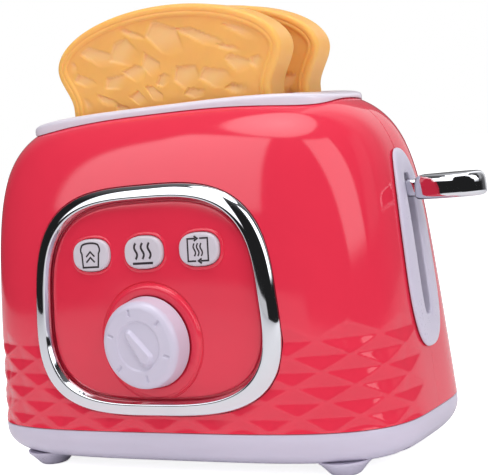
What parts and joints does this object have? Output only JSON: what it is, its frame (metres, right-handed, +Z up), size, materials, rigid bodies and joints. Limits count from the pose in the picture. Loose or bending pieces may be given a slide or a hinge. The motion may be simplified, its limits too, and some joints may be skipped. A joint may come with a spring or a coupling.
{
  "type": "toy pop-up toaster",
  "caption": "Toy pop-up toaster with a faceted red body, bread slots on top, removable play toast, side lever, front dial and push buttons.",
  "frame": {"origin": "on the floor under the middle of the body, in the plane where the front and rear shells meet", "axes": "+X to the lever side, +Y to the back, +Z up"},
  "size_m": [0.2164, 0.109, 0.1824],
  "materials": {
    "red_shell": "glossy moulded red",
    "red_panel": "glossy moulded red",
    "pale_plastic": "satin lavender white",
    "chrome": "vacuum plated plastic",
    "toast": "moulded toast colour",
    "button_grey": "pale grey plastic",
    "inner_plastic": "plain white",
    "steel": "plain steel",
    "board": "green board",
    "dark_plastic": "black",
    "brass": "plain",
    "cell": "printed steel can"
  },
  "bodies": {
    "housing": {"base_tray": "pale_plastic", "front_shell": "red_shell", "rear_shell": "red_shell", "slot_plate": "pale_plastic", "bread_guide": "inner_plastic", "front_panel": "red_panel", "chrome_frame": "chrome", "track_plate": "pale_plastic", "guide_rods": "steel", "latch_pin": "steel", "button_board": "board", "tact_switches": "dark_plastic", "board_screws": "steel", "speaker": "dark_plastic", "batteries": "cell", "battery_contacts": "brass", "battery_door": "pale_plastic", "door_screw": "steel", "base_screws": "steel", "shell_screws": "steel", "guide_screws": "steel", "left_spring": "steel", "right_spring": "steel"},
    "carriage": {"carriage": "inner_plastic", "lever_handle": "chrome", "lever_screw": "steel"},
    "front_toast": {"front_toast": "toast"},
    "rear_toast": {"rear_toast": "toast"},
    "dial": {"dial": "pale_plastic", "dial_shaft": "steel", "dial_cam": "inner_plastic"},
    "left_button": {"left_button": "button_grey"},
    "middle_button": {"middle_button": "button_grey"},
    "right_button": {"right_button": "button_grey"},
    "latch": {"latch": "inner_plastic"}
  },
  "joints": [
    {"name": "lift", "type": "slide", "parent": "housing", "child": "carriage", "axis": [0, 0, 1], "range_m": [-0.042, 0], "stiffness_N_per_m": 60, "springref_m": 0.06, "deforming": ["left_spring", "right_spring"]},
    {"name": "front_toast_lift_out", "type": "slide", "parent": "carriage", "child": "front_toast", "axis": [0, 0, 1], "range_m": [0, 0.065]},
    {"name": "rear_toast_lift_out", "type": "slide", "parent": "carriage", "child": "rear_toast", "axis": [0, 0, 1], "range_m": [0, 0.065]},
    {"name": "dial_turn", "type": "hinge", "parent": "housing", "child": "dial", "pos_m": [0, -0.04769, 0.0538], "axis": [0, 1, 0], "range_deg": [0, 300]},
    {"name": "left_button_press", "type": "slide", "parent": "housing", "child": "left_button", "axis": [0, 0.9948, -0.1018], "range_m": [0, 0.0012], "stiffness_N_per_m": 400, "springref_m": -0.0005},
    {"name": "middle_button_press", "type": "slide", "parent": "housing", "child": "middle_button", "axis": [0, 0.9948, -0.1018], "range_m": [0, 0.0012], "stiffness_N_per_m": 400, "springref_m": -0.0005},
    {"name": "right_button_press", "type": "slide", "parent": "housing", "child": "right_button", "axis": [0, 0.9948, -0.1018], "range_m": [0, 0.0012], "stiffness_N_per_m": 400, "springref_m": -0.0005},
    {"name": "latch_release", "type": "hinge", "parent": "housing", "child": "latch", "pos_m": [0.022, -0.035, 0.031], "axis": [0, 1, 0], "range_deg": [0, 12]}
  ]
}
